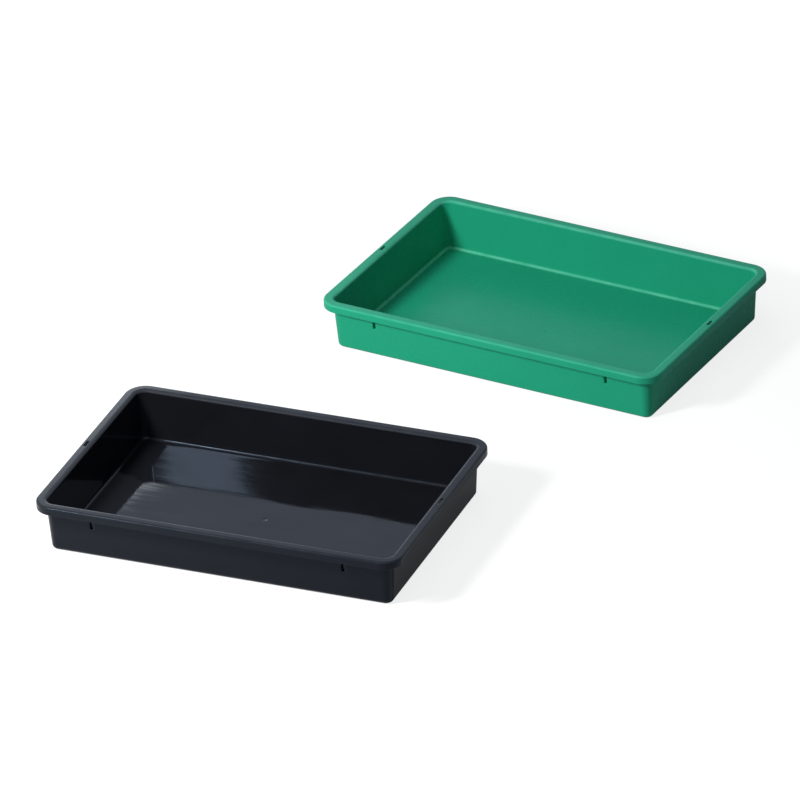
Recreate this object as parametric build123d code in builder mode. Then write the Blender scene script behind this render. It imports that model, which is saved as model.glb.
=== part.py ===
"""A pair of shallow potting trays, one black and one green, from the same injection mould.

Each tray is one moulding: a drafted basin of even thickness whose wall turns outwards into a flat
crown and down again into a skirt, so that the rim is hollow underneath.  The trays stand apart on
one surface, the green one behind the black one and turned a little.

Millimetres, +Z up.  The origin is on that surface, at the middle of the pair's box.  The black
tray's long sides run along X, and its front is towards -Y.
"""

import os
from math import cos, radians, sin, tan

from build123d import *

# Tray, over its outermost faces
rim_length = 600
rim_width = 400
tray_height = 85

# Basin
wall = 2.4  # thickness of wall and floor
wall_draft = 4  # degrees that each wall leans outwards
base_corner = 12  # plan radius of the outer corners where the tray stands
base_edge = 7  # rounding between the outer wall and the underside

# Rim
rim_reach = 14.5  # wall's outer face, carried up to the crown, out to the skirt's outer face
rim_wall = 2.4  # thickness of crown and skirt
rim_depth = 13  # crown down to the skirt's lower edge
mouth_edge = 5  # rounding where the crown turns down into the basin
neck_edge = 2.6  # rounding under the crown, where the wall meets it
crown_edge = 3.5  # rounding where the crown turns down into the skirt

# Upright pockets in the front wall, one near each end, each with a boss behind it
pocket_width = 5
pocket_height = 13.5
pocket_corner = 1.5
pocket_depth = 6  # wall's outer face, at the pocket's middle, in to the pocket's back
pocket_below = 9.5  # skirt's lower edge down to the pocket's upper end
pocket_inset = 94  # end of the tray in to the pocket's middle

# Slots through the crown, at the middle of each short side
crown_slot_width = 4
crown_slot_length = 16
crown_slot_inset = 7.6  # skirt's outer face in to the slot's middle

# Where the green tray's middle stands, measured from the black one's
green_across = 196
green_behind = 684
green_turn = -7.5  # degrees about +Z

# How far a cut runs on past the last face that it goes through
overrun = 1

# Worked out from the sizes above
lean = tan(radians(wall_draft))
wall_across = wall / cos(radians(wall_draft))
base_inset = rim_reach + tray_height * lean
base_length = rim_length - 2 * base_inset
base_width = rim_width - 2 * base_inset
skirt_bottom = tray_height - rim_depth
crown_underside = tray_height - rim_wall
pocket_x = rim_length / 2 - pocket_inset
pocket_z = skirt_bottom - pocket_below - pocket_height / 2
pocket_back = rim_reach + (tray_height - pocket_z) * lean + pocket_depth


def outline(spread, mode=Mode.ADD):
    """Plan of the tray's base, spread outwards by some distance with its corners kept concentric."""
    length = base_length + 2 * spread
    width = base_width + 2 * spread
    RectangleRounded(length, width, base_corner + spread, mode=mode)


def flat_at(tray, height):
    """The tray's one level face at some height."""
    near = 0.01
    level = tray.faces().filter_by(Axis.Z)
    return level.filter_by_position(Axis.Z, height - near, height + near)[0]


def moulded_tray(stand):
    """One tray on the plane where it stands, with its front towards the plane's -Y."""
    with BuildPart() as tray:
        # Basin: a drafted block, rounded underneath and hollowed from above to an even wall
        with BuildSketch(stand):
            outline(0)
        extrude(amount=tray_height)
        sides = tray.faces().filter_by(Axis.Z, reverse=True)
        draft(sides, neutral_plane=stand, angle=-wall_draft)
        fillet(flat_at(tray, 0).edges(), radius=base_edge)
        block = tray.part
        offset(amount=-wall, openings=flat_at(tray, tray_height))

        # Crown, from the middle of the wall's thickness out to the skirt
        with BuildSketch(stand.offset(crown_underside)):
            outline(base_inset)
            outline(tray_height * lean - wall_across / 2, mode=Mode.SUBTRACT)
        extrude(amount=rim_wall)

        # Skirt, hanging from the crown clear of the wall
        with BuildSketch(stand.offset(skirt_bottom)):
            outline(base_inset)
            outline(base_inset - rim_wall, mode=Mode.SUBTRACT)
        extrude(amount=rim_depth)

        # Roundings that make wall, crown and skirt one turned-over sheet; the skirt's lower edge is
        # the mould's parting line and stays sharp
        fillet(flat_at(tray, crown_underside).inner_wires()[0].edges(), radius=neck_edge)
        fillet(flat_at(tray, tray_height).inner_wires()[0].edges(), radius=mouth_edge)
        fillet(flat_at(tray, tray_height).outer_wire().edges(), radius=crown_edge)

        # Upright pockets, cut from the front into bosses that reach no further out than the wall
        front = Plane(
            origin=stand.from_local_coords((0, -rim_width / 2, pocket_z)),
            x_dir=stand.x_dir,
            z_dir=-stand.y_dir,
        )
        with BuildSketch(front, mode=Mode.PRIVATE) as bosses:
            with Locations((-pocket_x, 0), (pocket_x, 0)):
                RectangleRounded(pocket_width + 2 * wall, pocket_height + 2 * wall, pocket_corner + wall)
        add(block & extrude(bosses.sketch, amount=-(pocket_back + wall), mode=Mode.PRIVATE))
        with BuildSketch(front):
            with Locations((-pocket_x, 0), (pocket_x, 0)):
                RectangleRounded(pocket_width, pocket_height, pocket_corner)
        extrude(amount=-pocket_back, mode=Mode.SUBTRACT)

        # Crown slots, cut from above into the hollow of the rim
        crown_slot_x = rim_length / 2 - crown_slot_inset
        with BuildSketch(stand.offset(tray_height)):
            with Locations((-crown_slot_x, 0), (crown_slot_x, 0)):
                SlotOverall(crown_slot_length, crown_slot_width, rotation=90)
        extrude(amount=-(rim_wall + overrun), mode=Mode.SUBTRACT)
    return tray


def middle_of_pair(black_half, green_half, green_at):
    """Middle of the pair's box along one axis, where the black tray's middle is zero."""
    low = min(-black_half, green_at - green_half)
    high = max(black_half, green_at + green_half)
    return (low + high) / 2


# The turned tray reaches as far as its corner arcs' centres, and one corner radius more
turn = radians(green_turn)
rim_corner = base_corner + base_inset
arc_x = rim_length / 2 - rim_corner
arc_y = rim_width / 2 - rim_corner
green_half_x = arc_x * abs(cos(turn)) + arc_y * abs(sin(turn)) + rim_corner
green_half_y = arc_x * abs(sin(turn)) + arc_y * abs(cos(turn)) + rim_corner
pair_x = middle_of_pair(rim_length / 2, green_half_x, green_across)
pair_y = middle_of_pair(rim_width / 2, green_half_y, green_behind)

black_stand = Plane(origin=(-pair_x, -pair_y, 0))
green_stand = Plane(
    origin=(green_across - pair_x, green_behind - pair_y, 0),
    x_dir=(cos(turn), sin(turn), 0),
)

os.makedirs("parts", exist_ok=True)

black_tray = moulded_tray(black_stand)
black_tray.part.label = "black_tray"
export_step(black_tray.part, "parts/black_tray.step")

green_tray = moulded_tray(green_stand)
green_tray.part.label = "green_tray"
export_step(green_tray.part, "parts/green_tray.step")
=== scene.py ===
"""A pair of moulded potting trays, black and green, dressed for the camera around their CAD frame.

Each tray is one surface: the section of the moulding, carried round a rectangle with rounded
corners.  The scene is in metres, +Z up, in the frame that the CAD gives.  The sizes of a tray are
written in millimetres, and the places of floor, lamps and camera in metres.
"""

from math import cos, pi, radians, sin, tan

import bmesh
import bpy
import numpy as np
from mathutils import Matrix, Vector


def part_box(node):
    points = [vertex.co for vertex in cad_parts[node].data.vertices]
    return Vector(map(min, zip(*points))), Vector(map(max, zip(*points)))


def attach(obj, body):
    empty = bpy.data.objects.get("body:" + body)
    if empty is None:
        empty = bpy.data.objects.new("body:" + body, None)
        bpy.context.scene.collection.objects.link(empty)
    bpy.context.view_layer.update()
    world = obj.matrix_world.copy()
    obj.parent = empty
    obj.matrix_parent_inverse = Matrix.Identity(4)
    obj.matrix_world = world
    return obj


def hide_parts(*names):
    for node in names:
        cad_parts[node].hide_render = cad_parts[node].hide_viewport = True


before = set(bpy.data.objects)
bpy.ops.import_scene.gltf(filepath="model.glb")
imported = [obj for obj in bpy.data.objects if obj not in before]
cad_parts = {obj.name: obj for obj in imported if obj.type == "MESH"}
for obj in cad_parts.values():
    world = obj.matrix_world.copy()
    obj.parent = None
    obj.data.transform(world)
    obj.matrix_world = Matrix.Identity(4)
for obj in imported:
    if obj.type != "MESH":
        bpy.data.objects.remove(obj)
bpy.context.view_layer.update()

mm = 0.001

# Tray, over its outermost faces, as the frame has it
black_low, black_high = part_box("black_tray")
green_low, green_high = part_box("green_tray")
rim_length, rim_width, tray_height = (black_high - black_low) / mm

# Basin
wall = 2.4  # thickness of wall and floor
wall_draft = 4  # degrees that each wall leans outwards
base_corner = 12  # plan radius of the outer corners where the tray stands
base_edge = 7  # rounding between the outer wall and the underside

# Rim
rim_reach = 14.5  # wall's outer face, carried up to the crown, out to the skirt's outer face
rim_wall = 2.4  # thickness of crown and skirt
rim_depth = 13  # crown down to the skirt's lower edge
mouth_edge = 5  # rounding where the crown turns down into the basin
neck_edge = 2.6  # rounding under the crown, where the wall meets it
crown_edge = 3.5  # rounding where the crown turns down into the skirt
channel_edge = 1  # rounding under the crown, where the skirt meets it
skirt_edge = 0.5  # rounding of the skirt's lower edge

# Upright pockets in the front wall, one near each end, each with a boss behind it
pocket_width = 5
pocket_height = 13.5
pocket_corner = 1.5
pocket_depth = 6  # wall's outer face, at the pocket's middle, in to the pocket's back
pocket_below = 9.5  # skirt's lower edge down to the pocket's upper end
pocket_inset = 94  # end of the tray in to the pocket's middle

# Slots through the crown, at the middle of each short side
crown_slot_width = 4
crown_slot_length = 16
crown_slot_inset = 7.6  # skirt's outer face in to the slot's middle

# Patch of the surface that is cut out round each opening and filled again with the opening's border
wall_patch_margin = 4
crown_patch_margin = 2
crown_patch_outer = 1.2
crown_patch_inner = 0.5

# Rounding of an opening's edge, the share of it that is left halfway round, and the shares of the
# opening's depth that half of it and all of it take up
lip = 0.35
lip_halfway = 0.3
pocket_lip_half = 0.03
pocket_lip_whole = 0.1
slot_lip_half = 0.04
slot_lip_whole = 0.14

# Mark of the gate at the middle of the floor, where the mould was filled
gate_radius = 3.2
gate_depth = 0.45

# Unevenness of the floor, from cooling: how high, how far from one rise to the next, and the angles
# at which the waves stand in the middle
floor_rise = 0.16
floor_rise_across = 210
floor_rise_deep = 150
floor_start_across = 0.9
floor_start_deep = 0.5
floor_fade = 4  # power with which it dies out towards the walls

# A slanting wave on top of it, as shares of the height and the length across
slant_height = 0.5
slant_length = 0.7
slant = 0.6  # how far it leans from straight across

# Wear from handling and stacking, from 0 to 1; at the mouth it is partly a painted highlight
mouth_wear = 0.7  # where the crown turns down into the basin
crown_edge_wear = 0.35  # where the crown turns down into the skirt
skirt_wear = 0.03  # on the skirt's outer face
skirt_outer_wear = 0.25  # at the skirt's lower edge, outside
skirt_inner_wear = 0.1  # at the skirt's lower edge, inside
base_wear = 0.3  # between the outer wall and the underside

# Painted highlight along the floor's rounding: how strongly it is painted pale, from 0 to 1
black_floor_line = 0.2
green_floor_line = 0.9

# How pale the crown is painted, from 0 to 1: partly wear from hands and trays stacked in it,
# and partly painted sheen
black_crown_rub_and_sheen = 0.1
green_crown_rub_and_sheen = 0.15

# The green tray's turn about +Z, in degrees
green_turn = -7.5

# Legs of the section, counted from the floor over the rim to the underside
inner_wall_leg = 1
crown_leg = 2
skirt_leg = 3
crown_under_leg = 6
outer_wall_leg = 7

# Cells along each stretch of the surface
bend_cells = 8
corner_cells = 14
gate_cells = 16
end_cells = 12
middle_cells = 14
side_cells = 14
pocket_cells = 8
pocket_rows = 14
crown_slot_cells = 6
plain_leg_cells = 4

# Lengths and shares that count as none
merge_reach = 0.002
least_edge = 0.001
touch = 0.01
least_share = 1e-6
least_radius = 1e-9

# Worked out from the sizes above
lean = tan(radians(wall_draft))
wall_across = wall / cos(radians(wall_draft))
base_inset = rim_reach + tray_height * lean
rim_corner = base_corner + base_inset
core_x = rim_length / 2 - rim_corner
core_y = rim_width / 2 - rim_corner
skirt_bottom = tray_height - rim_depth
crown_underside = tray_height - rim_wall
pocket_x = rim_length / 2 - pocket_inset
pocket_z = skirt_bottom - pocket_below - pocket_height / 2
pocket_back = rim_reach + (tray_height - pocket_z) * lean + pocket_depth
wall_patch_x = pocket_width / 2 + wall_patch_margin
wall_patch_z = pocket_height / 2 + wall_patch_margin
crown_patch_start = crown_slot_inset - crown_slot_width / 2 - crown_patch_outer
crown_patch_end = crown_slot_inset + crown_slot_width / 2 + crown_patch_inner
crown_patch_y = crown_slot_length / 2 + crown_patch_margin


def eased(start, end, cells):
    """Stations from start to end, closer together towards both ends: half a cosine wave."""
    wave = (1 - np.cos(np.linspace(0, pi, cells + 1))) / 2
    return start + (end - start) * wave


def even(start, end, cells):
    """Stations from start to end, all as far apart."""
    return np.linspace(start, end, cells + 1)


def joined(*stretches):
    """Stretches of stations end to end, with each shared station once."""
    return np.concatenate([stretches[0]] + [stretch[1:] for stretch in stretches[1:]])


def outer_inset(height):
    """How far in from the skirt the wall's outer face is at a height: a straight leaning line."""
    return rim_reach + (tray_height - height) * lean


def bend(before, corner, after, radius):
    """An arc that rounds a corner of the section and touches both legs.

    It starts radius * tan(turn / 2) before the corner.  After turning by t, it has gone
    radius * sin(t) along the first leg and radius * (1 - cos(t)) towards the inside of the turn.
    """
    ahead = (corner - before) / np.linalg.norm(corner - before)
    away = (after - corner) / np.linalg.norm(after - corner)
    turn = np.arccos(np.clip(ahead @ away, -1, 1))
    inside = (away - (ahead @ away) * ahead) / np.sin(turn)
    start = corner - ahead * radius * np.tan(turn / 2)
    t = np.linspace(0, turn, bend_cells + 1)[:, None]
    return start + radius * (np.sin(t) * ahead + (1 - np.cos(t)) * inside)


def leg_shares(leg, start, end):
    """Shares of a straight leg at which it is divided, from its start to its end.

    Walls and crown are divided evenly inside the patch of an opening.  The ends of a leg are left
    out, because they belong to the bends.
    """
    if leg in (inner_wall_leg, outer_wall_leg):
        low = pocket_z - wall_patch_z
        high = pocket_z + wall_patch_z
        heights = joined(
            eased(0, low, end_cells),
            even(low, high, pocket_rows),
            eased(high, tray_height, end_cells),
        )
        shares = (heights - start[1]) / (end[1] - start[1])
    elif leg in (crown_leg, crown_under_leg):
        insets = even(crown_patch_start, crown_patch_end, crown_slot_cells)
        shares = (insets - start[0]) / (end[0] - start[0])
    else:
        shares = eased(0, 1, plain_leg_cells)
    inside = (shares > least_share) & (shares < 1 - least_share)
    return np.sort(shares[inside])


def section(floor_line, crown_rub_and_sheen):
    """The moulding's section, from the floor over the rim to the underside, as (inset, height).

    It is a chain of straight legs with rounded corners.  Also returns how pale each point is
    painted, by wear and by painted highlight.  The paleness of a bend rises and falls as half a
    sine wave, where that is more than a straight change from that of one leg to that of the next.
    The first argument is the painted highlight at the floor's rounding, and the second the crown's
    paleness, partly wear and partly painted sheen.
    """
    # Inset, height, rounding and paleness of each corner, from wear and painted highlight
    corners = np.array([
        (outer_inset(0) + wall_across - wall * lean, wall, base_edge - wall, floor_line),
        (outer_inset(tray_height) + wall_across, tray_height, mouth_edge, mouth_wear),
        (0, tray_height, crown_edge, crown_edge_wear),
        (0, skirt_bottom, skirt_edge, skirt_outer_wear),
        (rim_wall, skirt_bottom, skirt_edge, skirt_inner_wear),
        (rim_wall, crown_underside, channel_edge, 0),
        (outer_inset(crown_underside), crown_underside, neck_edge, 0),
        (outer_inset(0), 0, base_edge, base_wear),
    ])
    radii = corners[:, 2]
    bend_wear = corners[:, 3]
    leg_wear = np.zeros(len(corners) + 1)
    leg_wear[crown_leg] = crown_rub_and_sheen
    leg_wear[skirt_leg] = skirt_wear

    first = np.array([rim_corner, wall])
    last = np.array([rim_corner, 0])
    stops = np.vstack([first, corners[:, :2], last])
    bends = [bend(*stops[i:i + 3], radius) for i, radius in enumerate(radii)]
    rise = np.sin(even(0, pi, bend_cells))
    points = [first[None]]
    wear = [[0]]
    for leg in range(len(bends) + 1):
        start = first if leg == 0 else bends[leg - 1][-1]
        end = last if leg == len(bends) else bends[leg][0]
        straight = start + (end - start) * leg_shares(leg, start, end)[:, None]
        points.append(straight)
        wear.append(np.full(len(straight), leg_wear[leg]))
        if leg < len(bends):
            change = even(leg_wear[leg], leg_wear[leg + 1], bend_cells)
            points.append(bends[leg])
            wear.append(np.maximum(change, bend_wear[leg] * rise))
    return np.vstack([*points, last[None]]), np.concatenate([*wear, [0]])


def path():
    """The line that the section is carried round: core points, and the way outwards at each.

    The core is a rectangle with sharp corners.  Along a side the way outwards is square to it, and
    at a corner it swings through a quarter turn, so any inset gives a rounded rectangle.  Also
    returns the stations along X and along Y.
    """
    along_x = joined(
        eased(-core_x, -pocket_x - wall_patch_x, end_cells),
        even(-pocket_x - wall_patch_x, -pocket_x + wall_patch_x, pocket_cells),
        eased(-pocket_x + wall_patch_x, -crown_patch_y, middle_cells),
        even(-crown_patch_y, crown_patch_y, gate_cells),
        eased(crown_patch_y, pocket_x - wall_patch_x, middle_cells),
        even(pocket_x - wall_patch_x, pocket_x + wall_patch_x, pocket_cells),
        eased(pocket_x + wall_patch_x, core_x, end_cells),
    )
    along_y = joined(
        eased(-core_y, -crown_patch_y, side_cells),
        even(-crown_patch_y, crown_patch_y, gate_cells),
        eased(crown_patch_y, core_y, side_cells),
    )
    sides = [
        np.stack([along_x, np.full_like(along_x, -core_y)], axis=1),
        np.stack([np.full_like(along_y, core_x), along_y], axis=1),
        np.stack([along_x[::-1], np.full_like(along_x, core_y)], axis=1),
        np.stack([np.full_like(along_y, -core_x), along_y[::-1]], axis=1),
    ]
    cores = []
    outwards = []
    for number, side in enumerate(sides):
        facing = (number - 1) * pi / 2
        swing = facing + even(0, pi / 2, corner_cells)[1:-1]
        angles = np.concatenate([np.full(len(side), facing), swing])
        cores.append(np.vstack([side, np.repeat(side[-1:], len(swing), axis=0)]))
        outwards.append(np.stack([np.cos(angles), np.sin(angles)], axis=1))
    return np.vstack(cores), np.vstack(outwards), along_x, along_y


def border(half_s, half_t, radius, cells_s, cells_t):
    """A rounded rectangle's outline, anticlockwise, as many points a side as a patch has cells.

    Each side is walked at even steps from the middle of one corner's arc to the middle of the next:
    first the arc turns by an eighth, then the line runs straight, then the next arc turns.
    """
    core_s = half_s - radius
    core_t = half_t - radius
    starts = [(-core_s, -core_t), (core_s, -core_t), (core_s, core_t), (-core_s, core_t)]
    eighth = radius * pi / 4
    sides = []
    for number, (start_s, start_t) in enumerate(starts):
        straight = 2 * (core_s, core_t)[number % 2]
        cells = (cells_s, cells_t)[number % 2]
        heading = number * pi / 2
        gone = np.linspace(0, straight + 2 * eighth, cells + 1)[:-1]
        run = np.clip(gone - eighth, 0, straight)
        bent = np.clip(gone, 0, eighth) + np.clip(gone - eighth - straight, 0, eighth)
        facing = heading - pi / 2 - pi / 4 + bent / max(radius, least_radius)
        s = start_s + run * cos(heading) + radius * np.cos(facing)
        t = start_t + run * sin(heading) + radius * np.sin(facing)
        sides.append(np.stack([s, t], axis=1))
    return np.vstack(sides)


def closed_rings(half_s, half_t, radius):
    """Rings from a wall patch's edge into a form with a closed end: outlines and shares of depth.

    The form's mouth and its end are rounded by rings that shrink by the lip while they go in by a
    little more, and the last ring shrinks to one point at the middle of the end.
    """
    grow = lip * np.array([1, lip_halfway, 0, 0, -lip_halfway, -1])
    share = np.array([0, pocket_lip_half, pocket_lip_whole,
                      1 - pocket_lip_whole, 1 - pocket_lip_half, 1])
    edge = border(wall_patch_x, wall_patch_z, 0, pocket_cells, pocket_rows)
    inner = [border(half_s + g, half_t + g, radius + g, pocket_cells, pocket_rows) for g in grow]
    outlines = np.stack([edge, *inner, 0 * edge])
    shares = np.concatenate([[0], share, [1]])
    return outlines, np.broadcast_to(shares[:, None], outlines.shape[:2])


def wall_pocket(middle_x):
    """Points of one pocket and then of the boss behind it, ring by ring.

    The pocket's rings go from the outer face to its upright back.  The boss's rings are larger by
    the wall's thickness and go the other way, from its back to the inner face.
    """
    half = np.array([pocket_width, pocket_height]) / 2
    forms = []
    for grown, face, order in ((0, 0, 1), (wall, wall_across, -1)):
        outlines, share = closed_rings(*(half + grown), pocket_corner + grown)
        z = pocket_z + outlines[..., 1]
        start = outer_inset(z) + face
        inset = start + share * (pocket_back + grown - start)
        points = np.stack([middle_x + outlines[..., 0], inset - rim_width / 2, z], axis=-1)
        forms.append(points[::order])
    return forms


def crown_slot(side):
    """Points of one slot through the crown, ring by ring from the upper face to the lower one.

    The slot's edges are rounded: the rings shrink by the lip while they go in by about as much, and
    grow again in the same way towards the lower face.
    """
    grow = lip * np.array([1, lip_halfway, 0, 0, lip_halfway, 1])
    share = np.array([0, 0, slot_lip_half, slot_lip_whole,
                      1 - slot_lip_whole, 1 - slot_lip_half, 1, 1])
    half_s = crown_slot_width / 2
    half_t = crown_slot_length / 2
    patch_half = (crown_patch_end - crown_patch_start) / 2
    patch_middle = (crown_patch_start + crown_patch_end) / 2
    edge = border(patch_half, crown_patch_y, 0, crown_slot_cells, gate_cells)
    edge[:, 0] += side * (crown_slot_inset - patch_middle)
    inner = [border(half_s + g, half_t + g, half_s + g, crown_slot_cells, gate_cells) for g in grow]
    outlines = np.stack([edge, *inner, edge])
    across = side * (rim_length / 2 - crown_slot_inset) + outlines[..., 0]
    z = np.broadcast_to(tray_height - share[:, None] * rim_wall, across.shape)
    return np.stack([across, outlines[..., 1], z], axis=-1)


def ring_faces(rows, columns, start):
    """Quads between neighbouring closed rings of points, numbered ring by ring."""
    row, column = np.meshgrid(np.arange(rows - 1), np.arange(columns), indexing="ij")
    after = (column + 1) % columns
    quads = [row * columns + column, row * columns + after,
             (row + 1) * columns + after, (row + 1) * columns + column]
    return start + np.stack(quads, axis=-1).reshape(-1, 4)


def grid_faces(rows, columns):
    """Quads between neighbouring rows of an open grid of points, numbered row by row."""
    row, column = np.meshgrid(np.arange(rows - 1), np.arange(columns - 1), indexing="ij")
    quads = [row * columns + column, (row + 1) * columns + column,
             (row + 1) * columns + column + 1, row * columns + column + 1]
    return np.stack(quads, axis=-1).reshape(-1, 4)


def floor_height(x, y):
    """The floor's unevenness, with the gate's dimple.

    Two crossing sine waves and a slanting one are added up.  They die out at the walls as one less
    a power of the share of the way there.  The dimple is a bell curve.
    """
    wave_across = np.sin(2 * pi * x / floor_rise_across + floor_start_across)
    wave_deep = np.sin(2 * pi * y / floor_rise_deep + floor_start_deep)
    wave_slanting = np.sin(2 * pi * (x + slant * y) / (slant_length * floor_rise_across))
    wave = wave_across * wave_deep + slant_height * wave_slanting
    fade = (1 - (x / core_x) ** floor_fade) * (1 - (y / core_y) ** floor_fade)
    dimple = np.exp(-(x ** 2 + y ** 2) / gate_radius ** 2)
    return floor_rise * wave * fade - gate_depth * dimple


def outside_patches(middles):
    """Which faces of the moulding, by their middles, lie outside the patches of the openings."""
    x, y, z = middles.T
    on_front_wall = (y < -core_y) & (np.abs(np.abs(y) - rim_width / 2) > rim_reach)
    by_pocket = np.abs(np.abs(x) - pocket_x) < wall_patch_x
    in_wall_patch = on_front_wall & by_pocket & (np.abs(z - pocket_z) < wall_patch_z)
    in_from_end = rim_length / 2 - np.abs(x)
    by_slot = (in_from_end > crown_patch_start) & (in_from_end < crown_patch_end)
    in_crown_patch = by_slot & (z > crown_underside - touch) & (np.abs(y) < crown_patch_y)
    return ~(in_wall_patch | in_crown_patch)


def tray_surface(floor_line, crown_rub_and_sheen):
    """One whole tray about its own middle: points in millimetres, quads, and each point's wear
    and painted highlight.

    A point of the moulding is the path's core plus (rim corner radius - inset) times the way
    outwards, at the section's height.  Grids over the core close the floor and the underside, and
    rings of points close the patches that are left out round the openings.
    """
    profile, wear_and_highlight_share = section(floor_line, crown_rub_and_sheen)
    cores, outwards, along_x, along_y = path()
    inset, height = profile.T
    plan = cores[None] + (rim_corner - inset)[:, None, None] * outwards[None]
    heights = np.broadcast_to(height[:, None, None], plan.shape[:2] + (1,))
    moulding = np.concatenate([plan, heights], axis=-1)
    rows, columns = moulding.shape[:2]
    faces = ring_faces(rows, columns, 0)[:, ::-1]
    middles = moulding.reshape(-1, 3)[faces].mean(axis=1)

    points = [moulding.reshape(-1, 3)]
    quads = [faces[outside_patches(middles)]]
    wear = [np.broadcast_to(wear_and_highlight_share[:, None], (rows, columns)).ravel()]
    count = rows * columns

    # Floor and underside over the core
    grid_x, grid_y = np.meshgrid(along_x, along_y, indexing="ij")
    grid = grid_faces(*grid_x.shape)
    floor_z = wall + floor_height(grid_x, grid_y)
    for level, order in ((floor_z, 1), (np.zeros_like(grid_x), -1)):
        points.append(np.stack([grid_x, grid_y, level], axis=-1).reshape(-1, 3))
        quads.append(grid[:, ::order] + count)
        wear.append(np.zeros(grid_x.size))
        count += grid_x.size

    # Pockets, bosses and slots
    for rings in (*wall_pocket(-pocket_x), *wall_pocket(pocket_x), crown_slot(-1), crown_slot(1)):
        points.append(rings.reshape(-1, 3))
        quads.append(ring_faces(*rings.shape[:2], count))
        wear.append(np.zeros(rings[..., 0].size))
        count += rings[..., 0].size
    return np.vstack(points), np.vstack(quads), np.concatenate(wear)


def moulded_tray(name, low, high, turn, floor_line, crown_rub_and_sheen):
    """A tray's surface turned about +Z and moved to the middle of the CAD node that it replaces."""
    points, quads, wear = tray_surface(floor_line, crown_rub_and_sheen)
    angle = radians(turn)
    turned = np.array([(cos(angle), sin(angle), 0), (-sin(angle), cos(angle), 0), (0, 0, 1)])
    middle = np.array([(low.x + high.x) / 2, (low.y + high.y) / 2, low.z])
    placed = points @ turned * mm + middle
    mesh = bpy.data.meshes.new(name)
    mesh.from_pydata(placed, [], quads)
    edge_wear = mesh.attributes.new("edge_wear", "FLOAT", "POINT")
    edge_wear.data.foreach_set("value", wear.astype(np.float32))

    # Merge the points that neighbouring stretches share, which also closes the corners of the floor
    merged = bmesh.new()
    merged.from_mesh(mesh)
    bmesh.ops.remove_doubles(merged, verts=merged.verts, dist=merge_reach * mm)
    bmesh.ops.dissolve_degenerate(merged, edges=merged.edges, dist=least_edge * mm)
    merged.to_mesh(mesh)
    merged.free()
    mesh.shade_smooth()
    tray = bpy.data.objects.new(name, mesh)
    bpy.context.scene.collection.objects.link(tray)
    return tray


def linear(code):
    """Linear colour from an sRGB hex value.

    A channel c becomes c / 12.92 near black, and ((c + 0.055) / 1.055) ** 2.4 above that.
    """
    c = np.array([int(code[i:i + 2], 16) for i in (1, 3, 5)]) / 255
    straight = np.where(c <= 0.04045, c / 12.92, ((c + 0.055) / 1.055) ** 2.4)
    return (*straight.tolist(), 1.0)


def add(tree, kind, inputs, **settings):
    """Adds one node with its settings; each input is a value, or the output of another node."""
    node = tree.nodes.new(kind)
    for name, value in settings.items():
        setattr(node, name, value)
    for name, value in inputs.items():
        if isinstance(value, bpy.types.NodeSocket):
            tree.links.new(value, node.inputs[name])
        else:
            node.inputs[name].default_value = value
    return node


def per_metre(size):
    """A pattern's scale on coordinates in metres, from its size in millimetres."""
    return 1 / (size * mm)


# Patterns in the plastic, by their size
cloud_size = 90  # cloudy shade, from the flow of the melt
# The soft patches also break up the painted highlights and sheen
scuff_size = 30  # soft patches in which worn places are pale
rub_size = 35  # patches of stronger and weaker gloss, from hands and stacked trays
ripple_length = 120  # ripples from cooling, drawn out along X
ripple_spacing = 14
grain_size = 1.6  # the mould's grain is about 0.2 mm, and is drawn coarser so that it shows

# Heights between which the ripples fade, below the rim
ripple_start = 45
ripple_end = 65

# Range that a noise pattern mostly stays in, and the least share of the wear where it is low
noise_low = 0.3
noise_high = 0.7
scuff_least = 0.45

polypropylene_ior = 1.49
wear_roughness = 0.9  # how much rougher the plastic is where it is wholly worn


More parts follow.
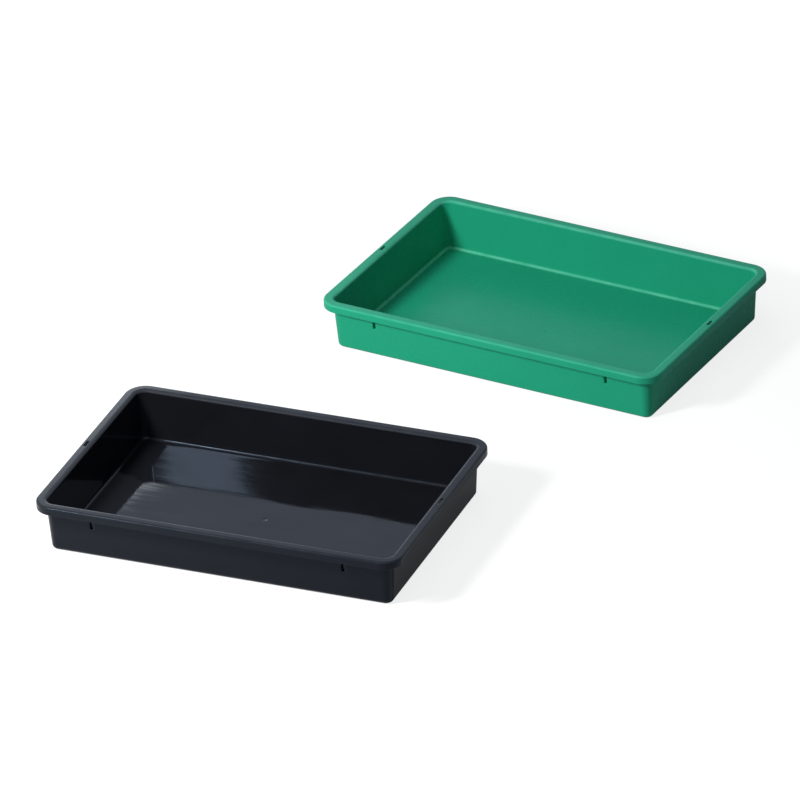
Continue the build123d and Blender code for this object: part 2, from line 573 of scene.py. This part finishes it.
def moulded_polypropylene(name, deep, fresh, wear_and_highlight_colour, roughness, rough_spread, specular, tint,
                          grain, ripple):
    """Material of a tray: moulded polypropylene with the mould's grain and marks of handling, and
    with painted highlight and sheen, in the pale colour of wear, at the floor's rounding, the mouth
    and the crown.
    """
    material = bpy.data.materials.new(name)
    material.use_nodes = True
    tree = material.node_tree
    tree.nodes.clear()
    place = add(tree, "ShaderNodeTexCoord", {}).outputs["Object"]

    # Cloudy shade
    cloud = add(tree, "ShaderNodeTexNoise",
                {"Vector": place, "Scale": per_metre(cloud_size), "Detail": 3, "Roughness": 0.5})
    shade = add(tree, "ShaderNodeMix",
                {0: cloud.outputs["Fac"], 6: linear(deep), 7: linear(fresh)}, data_type="RGBA")

    # Paler colour where the moulding is worn, and as painted highlight and sheen, in soft patches
    scuff = add(tree, "ShaderNodeTexNoise",
                {"Vector": place, "Scale": per_metre(scuff_size), "Detail": 4, "Roughness": 0.55})
    wear_and_highlight_share = add(tree, "ShaderNodeAttribute", {}, attribute_name="edge_wear")
    patchy = add(tree, "ShaderNodeMapRange",
                 {"Value": scuff.outputs["Fac"], "From Min": noise_low, "From Max": noise_high,
                  "To Min": scuff_least, "To Max": 1.0})
    wear = add(tree, "ShaderNodeMath",
               {0: wear_and_highlight_share.outputs["Fac"], 1: patchy.outputs["Result"]}, operation="MULTIPLY")
    colour = add(tree, "ShaderNodeMix",
                 {0: wear.outputs[0], 6: shade.outputs[2], 7: linear(wear_and_highlight_colour)}, data_type="RGBA")

    # Gloss that varies, and is dulled by wear
    rub = add(tree, "ShaderNodeTexNoise",
              {"Vector": place, "Scale": per_metre(rub_size), "Detail": 4, "Roughness": 0.6})
    gloss = add(tree, "ShaderNodeMapRange",
                {"Value": rub.outputs["Fac"], "From Min": noise_low, "From Max": noise_high,
                 "To Min": roughness - rough_spread, "To Max": roughness + rough_spread})
    rough = add(tree, "ShaderNodeMath",
                {0: wear.outputs[0], 1: wear_roughness, 2: gloss.outputs["Result"]},
                operation="MULTIPLY_ADD")

    # Ripples along X, which fade below the rim
    ripple_scale = (per_metre(ripple_length), per_metre(ripple_spacing), per_metre(ripple_spacing))
    stretched = add(tree, "ShaderNodeVectorMath", {0: place, 1: ripple_scale}, operation="MULTIPLY")
    cooled = add(tree, "ShaderNodeTexNoise",
                 {"Vector": stretched.outputs[0], "Scale": 1, "Detail": 2, "Roughness": 0.5})
    height = add(tree, "ShaderNodeSeparateXYZ", {0: place}).outputs["Z"]
    below_rim = add(tree, "ShaderNodeMapRange",
                    {"Value": height, "From Min": ripple_end * mm, "From Max": ripple_start * mm})
    rippled = add(tree, "ShaderNodeBump",
                  {"Height": cooled.outputs["Fac"], "Strength": below_rim.outputs["Result"],
                   "Distance": ripple * mm})

    # The mould's grain
    fine = add(tree, "ShaderNodeTexNoise",
               {"Vector": place, "Scale": per_metre(grain_size), "Detail": 2, "Roughness": 0.5})
    grained = add(tree, "ShaderNodeBump",
                  {"Height": fine.outputs["Fac"], "Strength": 1.0, "Distance": grain * mm,
                   "Normal": rippled.outputs["Normal"]})

    shader = add(tree, "ShaderNodeBsdfPrincipled",
                 {"Base Color": colour.outputs[2], "Roughness": rough.outputs[0],
                  "IOR": polypropylene_ior, "Specular IOR Level": specular,
                  "Specular Tint": linear(tint), "Normal": grained.outputs["Normal"]})
    add(tree, "ShaderNodeOutputMaterial", {"Surface": shader.outputs[0]})
    return material


# Black polypropylene from a polished mould: a deep cool black that mirrors light in soft patches
black_polypropylene = moulded_polypropylene(
    "black_polypropylene_polished_mould", deep="#101114", fresh="#17181C", wear_and_highlight_colour="#393A3D",
    roughness=0.06, rough_spread=0.025, specular=0.2, tint="#C4E0FF", grain=0.002, ripple=0.12)

# Green polypropylene from a fine-blasted mould: an even blue-green with a weak, wide sheen
green_polypropylene = moulded_polypropylene(
    "green_polypropylene_satin_mould", deep="#1F9B76", fresh="#23A37D", wear_and_highlight_colour="#66CBA8",
    roughness=0.28, rough_spread=0.05, specular=0.1, tint="#E0F0FF", grain=0.008, ripple=0.07)

black_tray = moulded_tray(
    "black_moulded_tray", black_low, black_high, 0, black_floor_line, black_crown_rub_and_sheen)
black_tray.data.materials.append(black_polypropylene)
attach(black_tray, "black_tray")
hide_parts("black_tray")

green_tray = moulded_tray(
    "green_moulded_tray", green_low, green_high, green_turn, green_floor_line, green_crown_rub_and_sheen)
green_tray.data.materials.append(green_polypropylene)
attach(green_tray, "green_tray")
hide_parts("green_tray")

white = "#FFFFFF"
cool_white = "#E6F0FF"

# Floor: its reach to each side, and how far it lies below the trays
floor_half = 40.0
floor_drop = 0.0002

# Shade of its sheet in the light that it throws back, in mirrors and glass, and to the camera
sheet_shade = "#C0C0C0"
sheet_shade_mirrored = "#D2D2D2"
sheet_shade_seen = "#909090"

# Glow that keeps the sheet white to the camera, near the trays and far from them, and the weaker
# one that mirrors and glass see
glow_near = 0.82
glow_far = 0.98
near_reach = 0.6
far_reach = 1.1
glow_mirrored = 0.12


def white_studio_sheet():
    """Material of the floor: a dull white sheet that glows, and keeps the trays' soft shadow."""
    material = bpy.data.materials.new("white_studio_sheet")
    material.use_nodes = True
    tree = material.node_tree
    tree.nodes.clear()
    ray = add(tree, "ShaderNodeLightPath", {})
    from_camera = ray.outputs["Is Camera Ray"]
    in_mirror = add(tree, "ShaderNodeMath",
                    {0: ray.outputs["Is Glossy Ray"], 1: ray.outputs["Is Transmission Ray"]},
                    operation="MAXIMUM").outputs[0]

    # Glow
    place = add(tree, "ShaderNodeTexCoord", {}).outputs["Object"]
    away = add(tree, "ShaderNodeVectorMath", {0: place}, operation="LENGTH")
    glow_seen = add(tree, "ShaderNodeMapRange",
                    {"Value": away.outputs["Value"], "From Min": near_reach, "From Max": far_reach,
                     "To Min": glow_near, "To Max": glow_far})
    mirror_glow = add(tree, "ShaderNodeMath", {0: in_mirror, 1: glow_mirrored},
                      operation="MULTIPLY")
    glow_level = add(tree, "ShaderNodeMath",
                     {0: from_camera, 1: glow_seen.outputs["Result"], 2: mirror_glow.outputs[0]},
                     operation="MULTIPLY_ADD")
    glow = add(tree, "ShaderNodeEmission",
               {"Color": linear(white), "Strength": glow_level.outputs[0]})

    # Shade
    unseen = add(tree, "ShaderNodeMix",
                 {0: in_mirror, 6: linear(sheet_shade), 7: linear(sheet_shade_mirrored)},
                 data_type="RGBA")
    colour = add(tree, "ShaderNodeMix",
                 {0: from_camera, 6: unseen.outputs[2], 7: linear(sheet_shade_seen)},
                 data_type="RGBA")
    sheet = add(tree, "ShaderNodeBsdfDiffuse", {"Color": colour.outputs[2]})
    both = add(tree, "ShaderNodeAddShader", {0: sheet.outputs[0], 1: glow.outputs[0]})
    add(tree, "ShaderNodeOutputMaterial", {"Surface": both.outputs[0]})
    return material


floor_mesh = bpy.data.meshes.new("studio_floor")
floor_edges = np.array([-floor_half, floor_half])
floor_x, floor_y = np.meshgrid(floor_edges, floor_edges, indexing="ij")
floor_points = np.stack([floor_x, floor_y, np.full_like(floor_x, -floor_drop)], axis=-1)
floor_mesh.from_pydata(floor_points.reshape(-1, 3), [], grid_faces(*floor_x.shape))
floor_mesh.materials.append(white_studio_sheet())
studio_floor = bpy.data.objects.new("studio_floor", floor_mesh)
bpy.context.scene.collection.objects.link(studio_floor)

# Strength of the room's light on dull surfaces
fill_level = 0.18


def studio_room():
    """World: white to the camera, cool white to mirrors and glass, a weak cool fill to the rest."""
    world = bpy.data.worlds.new("studio_room")
    world.use_nodes = True
    tree = world.node_tree
    tree.nodes.clear()
    ray = add(tree, "ShaderNodeLightPath", {})
    from_camera = ray.outputs["Is Camera Ray"]
    in_mirror = add(tree, "ShaderNodeMath",
                    {0: ray.outputs["Is Glossy Ray"], 1: ray.outputs["Is Transmission Ray"]},
                    operation="MAXIMUM").outputs[0]
    seen = add(tree, "ShaderNodeMath", {0: from_camera, 1: in_mirror}, operation="MAXIMUM")
    seen_colour = add(tree, "ShaderNodeMix",
                      {0: from_camera, 6: linear(cool_white), 7: linear(white)}, data_type="RGBA")
    backdrop = add(tree, "ShaderNodeBackground", {"Color": seen_colour.outputs[2], "Strength": 1.0})
    fill = add(tree, "ShaderNodeBackground", {"Color": linear(cool_white), "Strength": fill_level})
    room = add(tree, "ShaderNodeMixShader",
               {0: seen.outputs[0], 1: fill.outputs[0], 2: backdrop.outputs[0]})
    add(tree, "ShaderNodeOutputWorld", {"Surface": room.outputs[0]})
    return world


bpy.context.scene.world = studio_room()


def soft_panel(name, at, aim, roll, wide, high, power, colour, mirrored):
    """A rectangular soft box that faces a point, leans by some degrees and may show in gloss."""
    lamp = bpy.data.lights.new(name, "AREA")
    lamp.shape = "RECTANGLE"
    lamp.size = wide
    lamp.size_y = high
    lamp.energy = power
    lamp.color = linear(colour)[:3]
    panel = bpy.data.objects.new(name, lamp)
    facing = (Vector(at) - Vector(aim)).to_track_quat("Z", "Y").to_matrix()
    panel.location = at
    panel.rotation_euler = (facing @ Matrix.Rotation(radians(roll), 3, "Z")).to_euler()
    panel.visible_camera = False
    panel.visible_glossy = mirrored
    bpy.context.scene.collection.objects.link(panel)


# Key light in front on the left, which lights the trays but leaves no spot on the gloss
soft_panel("key", at=(-0.74, -1.16, 1.14), aim=(0, 0, 0.04), roll=0,
           wide=0.28, high=0.28, power=26.5, colour=white, mirrored=False)

# A weak wide panel overhead, which lifts the floors a little over the walls
soft_panel("top", at=(0.1, 0.1, 1.9), aim=(0.1, 0.1, 0), roll=0,
           wide=1.2, high=1.2, power=3.6, colour=white, mirrored=False)

# A narrow panel beside the key, for the shine at the back of the glossy floor
soft_panel("strip", at=(-0.945, -1.465, 1.115), aim=(-0.33, -0.18, 0.04), roll=0,
           wide=0.13, high=0.35, power=11.5, colour=white, mirrored=True)

# A weak long panel behind on the left, for the sheen on the left rims
soft_panel("rim", at=(-1.0635, 1.3326, 0.8651), aim=(-0.51, 0.05, 0.085), roll=-53.8,
           wide=0.20, high=0.77, power=1.25, colour=white, mirrored=True)

# A weak wide panel behind on the left, which the floors mirror as far as the trays' right ends
soft_panel("back", at=(-0.8981, 1.3627, 0.9139), aim=(-0.31, 0, 0.085), roll=-49.46,
           wide=0.70, high=1.0, power=0.35, colour="#DCEBFF", mirrored=True)

# Camera: a long lens at the photograph's angle, for a picture as wide as it is high
camera_lens = 450
camera_sensor = 36
camera_sight = 100  # as far as it sees
camera_pitch = 29.182  # degrees below level
camera_yaw = -23.344  # degrees that it looks to the right of straight ahead, along +Y
camera_roll = 2.868  # degrees that it leans
camera_at = Vector((5.3330, -12.4233, 7.5890))

pitch = radians(camera_pitch)
yaw = radians(camera_yaw)
roll = radians(camera_roll)
level_ahead = Vector((sin(yaw), cos(yaw), 0))
ahead = level_ahead * cos(pitch) - Vector((0, 0, 1)) * sin(pitch)
right = Vector((cos(yaw), -sin(yaw), 0))
down = ahead.cross(right)
picture_right = right * cos(roll) + down * sin(roll)
picture_down = down * cos(roll) - right * sin(roll)
camera_data = bpy.data.cameras.new("photo_camera")
camera_data.lens = camera_lens
camera_data.sensor_width = camera_sensor
camera_data.sensor_fit = "HORIZONTAL"
camera_data.clip_end = camera_sight
camera = bpy.data.objects.new("photo_camera", camera_data)
axes = Matrix((picture_right, -picture_down, -ahead)).transposed()
camera.matrix_world = Matrix.Translation(camera_at) @ axes.to_4x4()
bpy.context.scene.collection.objects.link(camera)
bpy.context.scene.camera = camera

bpy.context.scene.view_settings.view_transform = "Standard"
